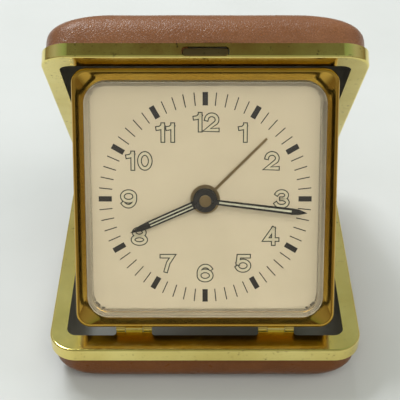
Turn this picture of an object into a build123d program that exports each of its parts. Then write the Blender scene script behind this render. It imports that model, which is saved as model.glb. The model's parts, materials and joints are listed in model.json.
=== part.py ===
"""Folding travel alarm clock: a clamshell case in leather and gilt brass, with a wind-up alarm
clock that stands between the base and the lid.

Row frame: +X to the right, +Y to the back, +Z up, millimetres. The origin is the centre of the
overall box in X and Y, on the plane that the clock stands on.

Two working frames are used. Case halves are drawn with the rim plane at Z = 0, the front edge at
Y = 0 and the body below. The clock is drawn lying on its back: face plane at Z = 0, dial centre at
X = Y = 0, twelve o'clock towards +Y, movement below.
"""

import os
from math import atan2, cos, degrees, hypot, pi, radians, sin

from build123d import *

# ---- driving dimensions: the case ---------------------------------------------------------------
CASE_SIZE = 80.0            # width and depth of a case half
CASE_CORNER = 7.0           # plan radius of its corners
HALF_HEIGHT = 13.5          # rim plane to outer leather face
BAND_HEIGHT = 3.65          # gilt band round the rim
METAL = 0.6                 # thickness of the gilt sheet
LEATHER = 0.6
TRAY_WALL = 0.9
FLANGE = 5.3                # inward width of the rim flange at the front
SIDE_FLANGE = 4.3           # its width at the sides and along the hinge
OPENING_CORNER = 2.6
EDGE_ROUND = 0.5            # rounding where band turns into flange
COVER_CORNER = 9.4          # plan radius of the leather below the band
SHELL_ROUND = 8.4           # rounding of the leather between side and face
LEATHER_TOP = -1.2          # where the leather ends under the band
HINGE_GAP = 1.6             # case hinge axis behind the back edge
HINGE_KNUCKLE = 1.25
HINGE_PIN = 0.6
HINGE_LENGTH = 44.0
RUNNING = 0.05              # radial clearance of pins and pivots
LID_OPEN = 53.5             # degrees between the rim planes as displayed

# ---- driving dimensions: the latch --------------------------------------------------------------
NOTCH_WIDTH = 11.4
NOTCH_HEIGHT = 2.75
NOTCH_EDGE = 0.35           # metal left between the opening and the rim
BUTTON_GAP = 0.2
BUTTON_DEPTH = 2.9
BUTTON_RECESS = 0.35
BUTTON_TRAVEL = 1.2

# ---- driving dimensions: the clock body ---------------------------------------------------------
CLOCK_SIZE = 65.3
CLOCK_CORNER = 3.6
CLOCK_TILT = 61.8           # degrees that the face leans up from lying flat
FACE_FOOT_Y = 4.2           # bottom edge of the face, from the base's front rim edge
FACE_FOOT_Z = 3.9
CLOCK_WALL = 0.8
WINDOW = 59.4
WINDOW_CORNER = 5.6
CRYSTAL_FRONT = 1.5
CRYSTAL_WALL = 1.2
CRYSTAL_THICK = 1.0
BEZEL_LEDGE = -1.4          # height of the bezel's inner edge
BEZEL_PLATE = -2.2
DIAL_FRONT = -3.5
DIAL_THICK = 0.4
COVER_BACK = -12.5
COVER_THICK = 0.4
KEY_END = -15.7
TILT_PIVOT_DROP = 1.64      # clock hinge axis below the clock's bottom wall
TILT_PIVOT_DEPTH = 4.8      # and behind its face
LUG_X = 18.3                # centre of each clock hinge
LUG_WIDTH = 9.2
LUG_RADIUS = 1.0
TAB_ROOT = 0.9              # rounding where a tab leaves the flange
LUG_PIN = 0.45

# ---- driving dimensions: the movement -----------------------------------------------------------
FRONT_PLATE = (-7.4, -6.9)
BACK_PLATE = (-11.5, -11.0)
PLATE_HALF_X = 25.0
PLATE_HALF_Y = 26.0
PIVOT = 0.3
SHOULDER = 0.1
ARBOR = 0.5
WHEEL_THICK = 0.3
WHEEL_SHARE = 0.40          # tooth width over pitch, on the pitch circle
PINION_SHARE = 0.36

# gear levels, lowest and highest Z of each wheel
ALARM_LEVEL = (-5.4, -5.1)
HOUR_LEVEL = (-6.0, -5.7)
MINUTE_LEVEL = (-6.7, -6.4)
CENTRE_LEVEL = (-7.9, -7.6)
GREAT_LEVEL = (-8.5, -8.2)
THIRD_LEVEL = (-9.05, -8.75)
FOURTH_LEVEL = (-9.8, -9.5)
ESCAPE_LEVEL = (-8.2, -7.9)
SPRING_LEVEL = (-10.6, -8.8)
BALANCE_LEVEL = (-10.5, -9.8)
HAIRSPRING_LEVEL = (-9.5, -9.2)
RATCHET_LEVEL = (-11.95, -11.65)

# tooth counts and modules: (wheel teeth, pinion leaves, module)
GREAT_TRAIN = (60, 10, 0.36)
CENTRE_TRAIN = (60, 8, 0.30)
THIRD_TRAIN = (64, 8, 0.24)
FOURTH_TRAIN = (60, 8, 0.22)
MINUTE_TRAIN = (36, 12, 0.30)      # minute wheel and cannon pinion
HOUR_TRAIN = (40, 10, 0.288)       # hour wheel and minute pinion
TIME_SET = (36, 14, 0.30)          # minute wheel and setting pinion
ALARM_SET = (56, 16, 0.30)         # alarm wheel and setting pinion
ALARM_TRAIN = (54, 9, 0.36)        # alarm great wheel and alarm escape pinion
ESCAPE_TEETH = 16
ESCAPE_RADIUS = 3.6
PALLET_REACH = 3.955
PALLET_SPREAD = 54.4        # degrees between a pallet arm and the line to the escape wheel
ALARM_ESCAPE_TEETH = 15
ALARM_ESCAPE_RADIUS = 3.9
RATCHET_TEETH = 20
RATCHET_RADIUS = 3.4

# hands, seen from the front, clockwise from twelve
HOUR_ANGLE = 246.0
MINUTE_ANGLE = 97.0
ALARM_ANGLE = 45.0
HOUR_HAND = (20.6, 2.1, 1.8)        # length, width at the boss and at the point's root
MINUTE_HAND = (25.6, 1.3, 1.6)
ALARM_HAND = (21.6, 0.75)
ALARM_HAND_LEVEL = (-3.0, -2.85)
HOUR_HAND_LEVEL = (-1.75, -1.55)
MINUTE_HAND_LEVEL = (-0.6, -0.4)


def polar(origin, distance, angle):
    """The point at a distance and an angle in degrees from origin."""
    return (origin[0] + distance * cos(radians(angle)), origin[1] + distance * sin(radians(angle)))


def centre_distance(train):
    wheel, pinion, module = train
    return (wheel + pinion) * module / 2


# ---- arbor positions in the clock frame, seen from the front ------------------------------------
CENTRE = (0.0, 0.0)
GREAT_ANGLE, THIRD_ANGLE, FOURTH_ANGLE, ESCAPE_ANGLE = 197.0, 60.0, -20.0, 90.0
GREAT = polar(CENTRE, centre_distance(GREAT_TRAIN), GREAT_ANGLE)
THIRD = polar(CENTRE, centre_distance(CENTRE_TRAIN), THIRD_ANGLE)
FOURTH = polar(THIRD, centre_distance(THIRD_TRAIN), FOURTH_ANGLE)
ESCAPE = polar(FOURTH, centre_distance(FOURTH_TRAIN), ESCAPE_ANGLE)
PALLET = polar(ESCAPE, 5.0, 130.0)
BALANCE = polar(PALLET, 6.6, 165.0)
MINUTE_ANGLE_AT, TIME_SET_AT, ALARM_SET_AT = 140.0, 130.0, -95.0
MINUTE_WHEEL = polar(CENTRE, centre_distance(MINUTE_TRAIN), MINUTE_ANGLE_AT)
TIME_SET_ARBOR = polar(MINUTE_WHEEL, centre_distance(TIME_SET), TIME_SET_AT)
ALARM_SET_ARBOR = polar(CENTRE, centre_distance(ALARM_SET), ALARM_SET_AT)
ALARM_GREAT = (12.5, -11.0)
ALARM_ESCAPE_AT = 215.0
ALARM_ESCAPE = polar(ALARM_GREAT, centre_distance(ALARM_TRAIN), ALARM_ESCAPE_AT)
HAMMER = polar(ALARM_ESCAPE, 5.6, 170.0)
PILLARS = [(sx * 22.0, sy * 23.0) for sx in (-1, 1) for sy in (-1, 1)]
COVER_SCREWS = [(-26.5, 26.5), (26.5, 26.5), (-26.5, -26.5), (26.5, -26.5)]
ALARM_STOP_AT = (17.5, 15.5)
REGULATOR_ARM = 6.0


# ---- shared shapes ------------------------------------------------------------------------------
def disc(radius, low, high, at=(0.0, 0.0)):
    return Pos(at[0], at[1], (low + high) / 2) * Cylinder(radius, high - low)


def tube(outer, inner, low, high, at=(0.0, 0.0)):
    return disc(outer, low, high, at) - disc(inner, low - 1, high + 1, at)


def slab(width, depth, corner, low, high, at=(0.0, 0.0)):
    """A block with rounded vertical corners."""
    return Pos(at[0], at[1], low) * extrude(RectangleRounded(width, depth, corner), high - low)


def block(x, y, z):
    """A box from its lowest and highest X, Y and Z."""
    sizes = [high - low for low, high in (x, y, z)]
    return Pos(*[(low + high) / 2 for low, high in (x, y, z)]) * Box(*sizes)


def rounded(solid, radius, z):
    """The solid with the edges of its face at height z rounded."""
    return fillet(solid.faces().filter_by_position(Axis.Z, z - 1e-4, z + 1e-4).edges(), radius)


def gear_outline(teeth, module, share, addendum, dedendum, turn=0.0):
    """A closed outline of straight-sided teeth; one tooth is centred at the angle turn."""
    pitch = 2 * pi / teeth
    radius = teeth * module / 2
    tip, root = radius + addendum * module, radius - dedendum * module
    half = share * pitch / 2
    flank = [(root, -1.25), (radius, -1.0), (tip, -0.45), (tip, 0.45), (radius, 1.0), (root, 1.25)]
    points = []
    for k in range(teeth):
        for r, side in flank:
            a = radians(turn) + k * pitch + side * half
            points.append((r * cos(a), r * sin(a)))
    return points


def toothed(points, level):
    face = make_face(Polyline(*points, close=True))
    return Pos(0, 0, level[0]) * extrude(face, level[1] - level[0])


def wheel(teeth, module, level, bore, turn=0.0, spokes=5):
    """A crossed-out clock wheel."""
    body = toothed(gear_outline(teeth, module, WHEEL_SHARE, 0.85, 1.2, turn), level)
    rim = teeth * module / 2 - 1.2 * module - 0.75
    hub = bore + 1.0
    body -= disc(bore, level[0] - 1, level[1] + 1)
    if spokes and rim - hub > 1.5:
        opening = tube(rim, hub, level[0] - 1, level[1] + 1)
        for k in range(spokes):
            arm = block((0, rim + 1), (-0.45, 0.45), (level[0] - 2, level[1] + 2))
            opening -= Rot(0, 0, k * 360 / spokes) * arm
        body -= opening
    return body


def pinion(leaves, module, level, turn=0.0):
    return toothed(gear_outline(leaves, module, PINION_SHARE, 0.7, 1.15, turn), level)


def meshed(teeth_a, turn_a, teeth_b, direction):
    """The turn of gear b, so that it meshes with gear a, which lies opposite to direction."""
    return direction + 180 - (turn_a - direction) * teeth_a / teeth_b + 180 / teeth_b


def shaft(low=BACK_PLATE[1] + SHOULDER, high=FRONT_PLATE[0] - SHOULDER, radius=ARBOR):
    """An arbor between the plates, with a pivot in each."""
    body = disc(radius, low, high)
    return body + disc(PIVOT, BACK_PLATE[0] + 0.05, FRONT_PLATE[1] - 0.05)


def grown(level, by=0.12):
    return (level[0] - by, level[1] + by)


def spiral(inner, outer, turns, width, level, start=0.0):
    """A flat spiral spring, made of half circles that grow evenly."""
    halves = 2 * turns
    step = (outer - inner) / halves

    def edge(offset):
        arcs = []
        for k in range(halves):
            centre = step / 2 if k % 2 else -step / 2
            radius = inner + k * step + offset
            points = [polar((centre, 0), radius, 180 * k + turn) for turn in (0, 90, 180)]
            arcs.append(ThreePointArc(*points))
        return arcs

    left, right = edge(-width / 2), edge(width / 2)
    ends = [Line(left[0] @ 0, right[0] @ 0), Line(left[-1] @ 1, right[-1] @ 1)]
    face = make_face(Curve() + [*left, *right, *ends])
    return Pos(0, 0, level[0]) * Rot(0, 0, start) * extrude(face, level[1] - level[0])


def hooked_teeth(teeth, tip, root, level, lean=0.55):
    """Pointed teeth that lean one way, for escape wheels and ratchets."""
    pitch = 2 * pi / teeth
    points = []
    for k in range(teeth):
        a = k * pitch
        points.append((tip * cos(a), tip * sin(a)))
        points.append((root * cos(a + 0.12 * pitch), root * sin(a + 0.12 * pitch)))
        points.append((root * cos(a + lean * pitch), root * sin(a + lean * pitch)))
    return toothed(points, level)


# ---- case halves --------------------------------------------------------------------------------
MIDDLE = (0.0, CASE_SIZE / 2)
INNER_BAND = CASE_SIZE - 2 * METAL
FLOOR_Z = -HALF_HEIGHT + LEATHER + TRAY_WALL


def leather_cover():
    """The leather, filled out at the corners where it meets the band."""
    inner_size = INNER_BAND - 2 * LEATHER
    outer = rounded(slab(INNER_BAND, INNER_BAND, COVER_CORNER, -HALF_HEIGHT, LEATHER_TOP, MIDDLE),
                    SHELL_ROUND, -HALF_HEIGHT)
    outer += slab(INNER_BAND, INNER_BAND, CASE_CORNER - METAL, -BAND_HEIGHT, LEATHER_TOP, MIDDLE)
    low = -HALF_HEIGHT + LEATHER
    inner = rounded(slab(inner_size, inner_size, COVER_CORNER - LEATHER, low, 1, MIDDLE),
                    SHELL_ROUND - LEATHER, low)
    return outer - inner


def tray():
    size = INNER_BAND - 2 * LEATHER
    corner = COVER_CORNER - LEATHER
    low = -HALF_HEIGHT + LEATHER
    outer = rounded(slab(size, size, corner, low, -METAL, MIDDLE), SHELL_ROUND - LEATHER, low)
    inner_size = size - 2 * TRAY_WALL
    inner = rounded(slab(inner_size, inner_size, corner - TRAY_WALL, FLOOR_Z, 1, MIDDLE),
                    SHELL_ROUND - LEATHER - TRAY_WALL, FLOOR_Z)
    return outer - inner


def rim_frame():
    """The gilt frame: a band round the outside and a flange that turns in."""
    width = CASE_SIZE - 2 * SIDE_FLANGE
    depth = CASE_SIZE - FLANGE - SIDE_FLANGE
    body = slab(CASE_SIZE, CASE_SIZE, CASE_CORNER, -BAND_HEIGHT, 0, MIDDLE)
    body = rounded(body, EDGE_ROUND, 0)
    body -= slab(INNER_BAND, INNER_BAND, CASE_CORNER - METAL, -BAND_HEIGHT - 1, -METAL, MIDDLE)
    return body - slab(width, depth, OPENING_CORNER, -METAL - 1, 1, (0, FLANGE + depth / 2))


def clock_pivot():
    """The clock hinge axis as (Y, Z) in the case frame."""
    tilt = radians(CLOCK_TILT)
    y = FACE_FOOT_Y - TILT_PIVOT_DROP * cos(tilt) + TILT_PIVOT_DEPTH * sin(tilt)
    z = FACE_FOOT_Z - TILT_PIVOT_DROP * sin(tilt) - TILT_PIVOT_DEPTH * cos(tilt)
    return y, z


PIVOT_Y, PIVOT_Z = clock_pivot()
TAB_END = PIVOT_Y - LUG_RADIUS - 0.15


def base_frame():
    """The base's frame has two short tabs at the front that carry the clock's hinges."""
    body = rim_frame()
    for side in (-1, 1):
        x = (side * LUG_X - LUG_WIDTH / 2, side * LUG_X + LUG_WIDTH / 2)
        body += block(x, (FLANGE - 0.5, TAB_END), (-METAL, 0))
    roots = body.edges().filter_by(Axis.Z).filter_by(lambda e: abs(e.center().Y - FLANGE) < 0.01)
    body = fillet(roots.filter_by(lambda e: abs(e.center().X) < LUG_X + LUG_WIDTH), TAB_ROOT)
    for lug in base_hinge_lugs():
        body += lug
    return body


def base_hinge_lugs():
    """A knuckle rolled at the end of each tab, with the hole for the clock hinge pin."""
    lugs = []
    for side in (-1, 1):
        low, high = side * LUG_X - 2.2, side * LUG_X + 2.2
        foot = block((low, high), (TAB_END - 0.2, PIVOT_Y), (-METAL, 0))
        knuckle = x_cylinder(LUG_RADIUS, low, high, PIVOT_Y, PIVOT_Z)
        hole = x_cylinder(LUG_PIN + RUNNING, low - 1, high + 1, PIVOT_Y, PIVOT_Z)
        lugs.append(foot + knuckle - hole)
    return lugs


def x_cylinder(radius, low, high, y, z):
    return Pos((low + high) / 2, y, z) * Rot(0, 90, 0) * Cylinder(radius, high - low)


def clock_hinge_pins():
    half = LUG_WIDTH / 2
    return [x_cylinder(LUG_PIN, s * LUG_X - half, s * LUG_X + half, PIVOT_Y, PIVOT_Z)
            for s in (-1, 1)]


HINGE_Y = CASE_SIZE + HINGE_GAP
KNUCKLES = 5


def hinge_leaf(own):
    """A leaf on the band's back face; own picks the knuckles by number."""
    half = HINGE_LENGTH / 2
    leaf = block((-half, half), (CASE_SIZE, CASE_SIZE + 0.5), (-BAND_HEIGHT + 0.3, -0.7))
    step = HINGE_LENGTH / KNUCKLES
    for k in own:
        low, high = -half + k * step + 0.1, -half + (k + 1) * step - 0.1
        knuckle = x_cylinder(HINGE_KNUCKLE, low, high, HINGE_Y, 0)
        web = block((low, high), (CASE_SIZE, HINGE_Y), (-HINGE_KNUCKLE, -0.7))
        leaf += knuckle + web
    return leaf - x_cylinder(HINGE_PIN + RUNNING, -half - 1, half + 1, HINGE_Y, 0)


def case_hinge_pin():
    half = HINGE_LENGTH / 2
    pin = x_cylinder(HINGE_PIN, -half - 0.4, half + 0.4, HINGE_Y, 0)
    return pin


def lid_frame():
    """The lid's frame, drawn like a base frame, with the opening for the latch button."""
    half = NOTCH_WIDTH / 2
    notch = block((-half, half), (-1, 2.5), (-NOTCH_HEIGHT, -NOTCH_EDGE))
    notch = fillet(notch.edges().filter_by(Axis.Y), 0.9)
    return rim_frame() - notch + latch_guide()


def latch_button():
    """A push button in the band's opening, on a stem that slides in the guide."""
    half = NOTCH_WIDTH / 2 - BUTTON_GAP
    low, high = -NOTCH_HEIGHT + BUTTON_GAP, -NOTCH_EDGE - BUTTON_GAP
    front = BUTTON_RECESS
    head = block((-half, half), (front, front + 0.75), (low, high))
    head = fillet(head.edges().filter_by(Axis.Y), 0.75)
    head = fillet(head.faces().sort_by(Axis.Y)[0].edges(), 0.3)
    stem = block((-2.2, 2.2), (front + 0.7, front + BUTTON_DEPTH), (low + 0.3, -METAL - 0.3))
    return head + stem


def latch_cut():
    """The space that the latch takes from the lid's cover and tray."""
    half = NOTCH_WIDTH / 2 + 0.2
    head = block((-half, half), (-1, 2.5), (-NOTCH_HEIGHT - 0.2, 1))
    return head + block((-3.35, 3.35), (1, 5.6), (-3.55, 1))


def latch_spring():
    """A bent strip between the tray's wall and the button's stem."""
    y0 = BUTTON_RECESS + BUTTON_DEPTH + 0.02
    bend = y0 + 1.35
    path = [(-2.1, bend + 0.25), (-0.6, y0), (0.6, y0), (2.1, bend + 0.25)]
    back = [(x, y + 0.15) for x, y in reversed(path)]
    face = make_face(Polyline(*path, *back, close=True))
    return Pos(0, 0, -2.3) * extrude(face, 1.2)


def latch_guide():
    """A bracket under the lid's flange that holds the button's stem and spring."""
    outer = block((-3.2, 3.2), (2.6, FLANGE), (-3.4, -METAL))
    inner = block((-2.35, 2.35), (1.0, FLANGE - 0.2), (-2.8, -METAL + 0.01))
    return outer - inner


# ---- clock body ---------------------------------------------------------------------------------
def bezel():
    """The gilt front frame and side walls, in one drawn piece."""
    body = slab(CLOCK_SIZE, CLOCK_SIZE, CLOCK_CORNER, COVER_BACK + COVER_THICK, 0)
    body = rounded(body, 0.9, 0)
    lip = CLOCK_SIZE - 2 * 0.95
    slope = loft([Pos(0, 0, 0.01) * RectangleRounded(lip, lip, CLOCK_CORNER - 0.8),
                  Pos(0, 0, BEZEL_LEDGE) * RectangleRounded(WINDOW, WINDOW, WINDOW_CORNER)])
    cavity = CLOCK_SIZE - 2 * CLOCK_WALL
    body -= slope
    body -= slab(WINDOW, WINDOW, WINDOW_CORNER, BEZEL_PLATE - 1, 0)
    return body - slab(cavity, cavity, CLOCK_CORNER - CLOCK_WALL, COVER_BACK, BEZEL_PLATE)


def crystal():
    """The clear box that covers the dial, with a flange behind the bezel."""
    size = WINDOW - 0.2
    body = slab(size, size, WINDOW_CORNER - 0.1, DIAL_FRONT, CRYSTAL_FRONT)
    body = rounded(body, 0.5, CRYSTAL_FRONT)
    body += slab(62, 62, 4, DIAL_FRONT, BEZEL_PLATE)
    inner = size - 2 * CRYSTAL_WALL
    return body - slab(inner, inner, WINDOW_CORNER - 0.1 - CRYSTAL_WALL, DIAL_FRONT - 1,
                       CRYSTAL_FRONT - CRYSTAL_THICK)


def dial():
    plate = slab(62, 62, 4, DIAL_FRONT - DIAL_THICK, DIAL_FRONT)
    return plate - disc(2.5, -9, 0)


def case_spacer():
    """The plastic frame that holds dial and movement in the case."""
    low, high = COVER_BACK + COVER_THICK, DIAL_FRONT - DIAL_THICK
    body = slab(63.2, 63.2, 2.7, low, high) - slab(59.6, 59.6, 2.0, low - 1, high + 1)
    shelf = slab(60, 60, 2.0, FRONT_PLATE[1], high) - slab(50, 52, 2.0, low, 0)
    for x, y in COVER_SCREWS:
        boss = disc(2.0, low, FRONT_PLATE[1], (x, y))
        body += boss - disc(0.75, low - 1, low + 3, (x, y))
    return body + shelf


def clock_hinge_leaves():
    """Two leaves on the clock's bottom wall, each with a pair of knuckles."""
    leaves = []
    y0 = -CLOCK_SIZE / 2
    for side in (-1, 1):
        x = side * LUG_X
        half = LUG_WIDTH / 2
        leaf = block((x - half, x + half), (y0 - 0.35, y0), (-TILT_PIVOT_DEPTH - 3.4, -TILT_PIVOT_DEPTH + 1.0))
        for low, high in ((x - half, x - 2.35), (x + 2.35, x + half)):
            knuckle = x_cylinder(LUG_RADIUS, low, high, y0 - TILT_PIVOT_DROP, -TILT_PIVOT_DEPTH)
            web = block((low, high), (y0 - TILT_PIVOT_DROP, y0),
                        (-TILT_PIVOT_DEPTH - LUG_RADIUS, -TILT_PIVOT_DEPTH + LUG_RADIUS))
            leaf += knuckle + web
        hole = x_cylinder(LUG_PIN + RUNNING, x - half - 1, x + half + 1, y0 - TILT_PIVOT_DROP,
                          -TILT_PIVOT_DEPTH)
        leaves.append(leaf - hole)
    return leaves


def back_cover():
    """The pressed back, with holes for keys, knobs, stop and regulator."""
    body = slab(CLOCK_SIZE, CLOCK_SIZE, CLOCK_CORNER, COVER_BACK, COVER_BACK + COVER_THICK)
    body = fillet(body.faces().sort_by(Axis.Z)[0].edges(), 0.35)
    hole_low, hole_high = COVER_BACK - 1, COVER_BACK + COVER_THICK + 1
    for at in (GREAT, ALARM_GREAT):
        body -= disc(1.6, hole_low, hole_high, at)
    for at in (TIME_SET_ARBOR, ALARM_SET_ARBOR):
        body -= disc(1.2, hole_low, hole_high, at)
    for at in COVER_SCREWS:
        body -= disc(0.75, hole_low, hole_high, at)
    stop_slot = slab(6.2, 1.8, 0.85, hole_low, hole_high, ALARM_STOP_AT)
    regulator_slot = slab(5.4, 1.5, 0.7, hole_low, hole_high,
                          (BALANCE[0], BALANCE[1] + REGULATOR_ARM - 1.0))
    return body - stop_slot - regulator_slot


def cover_screws():
    screws = []
    for x, y in COVER_SCREWS:
        head = disc(1.3, COVER_BACK - 0.55, COVER_BACK, (x, y))
        head -= block((x - 1.4, x + 1.4), (y - 0.15, y + 0.15), (COVER_BACK - 1, COVER_BACK - 0.3))
        screws.append(head + disc(0.7, COVER_BACK, COVER_BACK + 3.0, (x, y)))
    return screws


# ---- movement: fixed parts ----------------------------------------------------------------------
TRAIN_PIVOTS = [CENTRE, GREAT, THIRD, FOURTH, ESCAPE, PALLET, BALANCE, TIME_SET_ARBOR,
                ALARM_SET_ARBOR, ALARM_GREAT, ALARM_ESCAPE, HAMMER]
THICK_ARBORS = {GREAT: 0.9, ALARM_GREAT: 0.9, TIME_SET_ARBOR: 0.6, ALARM_SET_ARBOR: 0.6}


def plate(level, through):
    """A movement plate; arbors listed in through pass right through it at full size."""
    body = slab(2 * PLATE_HALF_X, 2 * PLATE_HALF_Y, 3.0, *level)
    for at in TRAIN_PIVOTS:
        radius = THICK_ARBORS[at] if at in through else PIVOT
        body -= disc(radius + RUNNING, level[0] - 1, level[1] + 1, at)
    for at in PILLARS:
        body -= disc(0.75, level[0] - 1, level[1] + 1, at)
    return body


def front_plate():
    """Carries the motion work, so the setting arbors and centre arbor pass through."""
    body = plate(FRONT_PLATE, (TIME_SET_ARBOR, ALARM_SET_ARBOR))
    body -= disc(ARBOR + RUNNING, -20, 0, CENTRE)
    stud = disc(0.5, FRONT_PLATE[1], ALARM_LEVEL[0] - 0.1, MINUTE_WHEEL)
    return body + stud + hairspring_stud()


def back_plate():
    through = (GREAT, ALARM_GREAT, TIME_SET_ARBOR, ALARM_SET_ARBOR)
    return plate(BACK_PLATE, through) + regulator_bush()


def plate_pillars():
    return [tube(1.5, 0.75, BACK_PLATE[1], FRONT_PLATE[0], at) for at in PILLARS]


def pillar_screws():
    """One long screw through each pillar, head at the back."""
    screws = []
    for x, y in PILLARS:
        head = disc(1.3, BACK_PLATE[0] - 0.45, BACK_PLATE[0], (x, y))
        head -= block((x - 1.4, x + 1.4), (y - 0.15, y + 0.15), (-13, BACK_PLATE[0] - 0.25))
        screws.append(head + disc(0.7, BACK_PLATE[0], FRONT_PLATE[1], (x, y)))
    return screws


def mainspring(at):
    """An open mainspring, let down, round its winding arbor."""
    return Pos(at[0], at[1], 0) * spiral(1.75, 7.6, 6, 0.35, SPRING_LEVEL)


def hairspring():
    return at_arbor(spiral(0.95, 3.4, 5, 0.12, HAIRSPRING_LEVEL, 90.0), BALANCE)


def hairspring_stud():
    """The post on the front plate that pins the hairspring's outer end."""
    x, y = BALANCE[0], BALANCE[1] + 3.85
    return block((x - 0.4, x + 0.4), (y - 0.35, y + 0.35), (-9.55, FRONT_PLATE[0]))


# ---- movement: turning parts --------------------------------------------------------------------
def at_arbor(solid, at):
    return Pos(at[0], at[1], 0) * solid


TURN_GREAT = 0.0
TURN_CENTRE_PINION = meshed(GREAT_TRAIN[0], TURN_GREAT, GREAT_TRAIN[1], GREAT_ANGLE + 180)
TURN_CENTRE = 0.0
TURN_THIRD_PINION = meshed(CENTRE_TRAIN[0], TURN_CENTRE, CENTRE_TRAIN[1], THIRD_ANGLE)
TURN_THIRD = 0.0
TURN_FOURTH_PINION = meshed(THIRD_TRAIN[0], TURN_THIRD, THIRD_TRAIN[1], FOURTH_ANGLE)
TURN_FOURTH = 0.0
TURN_ESCAPE_PINION = meshed(FOURTH_TRAIN[0], TURN_FOURTH, FOURTH_TRAIN[1], ESCAPE_ANGLE)
TURN_CANNON = 0.0
TURN_MINUTE = meshed(MINUTE_TRAIN[1], TURN_CANNON, MINUTE_TRAIN[0], MINUTE_ANGLE_AT)
TURN_HOUR = 0.0
TURN_MINUTE_PINION = meshed(HOUR_TRAIN[0], TURN_HOUR, HOUR_TRAIN[1], MINUTE_ANGLE_AT)
TURN_TIME_SET = meshed(TIME_SET[0], TURN_MINUTE, TIME_SET[1], TIME_SET_AT)
TURN_ALARM = 0.0
TURN_ALARM_SET = meshed(ALARM_SET[0], TURN_ALARM, ALARM_SET[1], ALARM_SET_AT)
TURN_ALARM_GREAT = 0.0
TURN_ALARM_ESCAPE = meshed(ALARM_TRAIN[0], TURN_ALARM_GREAT, ALARM_TRAIN[1], ALARM_ESCAPE_AT)


def great_wheel(train, turn, at):
    """The wheel that the mainspring drives; it turns freely on the winding arbor."""
    return at_arbor(wheel(train[0], train[2], GREAT_LEVEL, 0.9 + RUNNING, turn), at)


def winding_arbor(at):
    """The arbor that a key turns, with its ratchet wheel behind the back plate."""
    body = disc(0.9, BACK_PLATE[0] - 0.5, GREAT_LEVEL[1] + 0.05)
    body += disc(PIVOT, GREAT_LEVEL[1], FRONT_PLATE[1] - 0.05)
    body += disc(1.2, SPRING_LEVEL[0] - 0.1, GREAT_LEVEL[0] - 0.1)
    body += hooked_teeth(RATCHET_TEETH, RATCHET_RADIUS, RATCHET_RADIUS - 0.55, RATCHET_LEVEL, 0.9)
    body += disc(1.1, COVER_BACK - 1.3, RATCHET_LEVEL[0])
    return at_arbor(body, at)


KEY_HUB = 2.1
KEY_PIN_Z = KEY_END + 1.15


def key_hub(at):
    """The key's collar behind the back cover, slotted for the folding wing."""
    body = disc(KEY_HUB, KEY_END + 0.1, COVER_BACK - 0.25)
    body -= disc(1.1, KEY_END - 1, COVER_BACK)
    body -= block((-0.75, 0.75), (-3, 3), (KEY_END - 1, COVER_BACK - 1.35))
    body -= x_cylinder(0.4, -3, 3, 0, KEY_PIN_Z)
    return at_arbor(body, at)


def key_pin(at):
    return at_arbor(x_cylinder(0.4, -KEY_HUB, KEY_HUB, 0, KEY_PIN_Z), at)


def key_wing(at):
    """The folding wing of a key, lying flat along +Y."""
    low, high = KEY_PIN_Z - 0.55, KEY_PIN_Z + 0.55
    plate_low, plate_high = KEY_PIN_Z - 0.5, KEY_PIN_Z + 0.5
    neck = block((-0.65, 0.65), (-0.4, 3.2), (plate_low, plate_high))
    neck += x_cylinder(0.55, -0.65, 0.65, 0, KEY_PIN_Z)
    grip = slab(8.4, 4.6, 2.1, plate_low, plate_high, (0, 4.9))
    grip -= slab(4.6, 1.7, 0.8, low - 1, high + 1, (0, 5.1))
    body = neck + grip - x_cylinder(0.4 + RUNNING, -2, 2, 0, KEY_PIN_Z)
    return at_arbor(body, at)


def centre_wheel():
    body = shaft() + disc(ARBOR, FRONT_PLATE[0] - 0.2, MINUTE_LEVEL[0] - 0.1)
    body += disc(0.4, MINUTE_LEVEL[0] - 0.2, MINUTE_HAND_LEVEL[1] + 0.2)
    body += wheel(CENTRE_TRAIN[0], CENTRE_TRAIN[2], CENTRE_LEVEL, ARBOR - 0.01, TURN_CENTRE)
    return body + pinion(GREAT_TRAIN[1], GREAT_TRAIN[2], grown(GREAT_LEVEL), TURN_CENTRE_PINION)


def third_wheel():
    body = shaft() + wheel(THIRD_TRAIN[0], THIRD_TRAIN[2], THIRD_LEVEL, ARBOR - 0.01, TURN_THIRD)
    body += pinion(CENTRE_TRAIN[1], CENTRE_TRAIN[2], grown(CENTRE_LEVEL), TURN_THIRD_PINION)
    return at_arbor(body, THIRD)


def fourth_wheel():
    body = shaft(radius=0.4)
    body += wheel(FOURTH_TRAIN[0], FOURTH_TRAIN[2], FOURTH_LEVEL, 0.39, TURN_FOURTH)
    body += pinion(THIRD_TRAIN[1], THIRD_TRAIN[2], grown(THIRD_LEVEL), TURN_FOURTH_PINION)
    return at_arbor(body, FOURTH)


def escape_wheel():
    body = shaft(radius=0.4)
    body += hooked_teeth(ESCAPE_TEETH, ESCAPE_RADIUS, ESCAPE_RADIUS - 1.0, ESCAPE_LEVEL)
    body += pinion(FOURTH_TRAIN[1], FOURTH_TRAIN[2], grown(FOURTH_LEVEL), TURN_ESCAPE_PINION)
    return at_arbor(body, ESCAPE)


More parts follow.
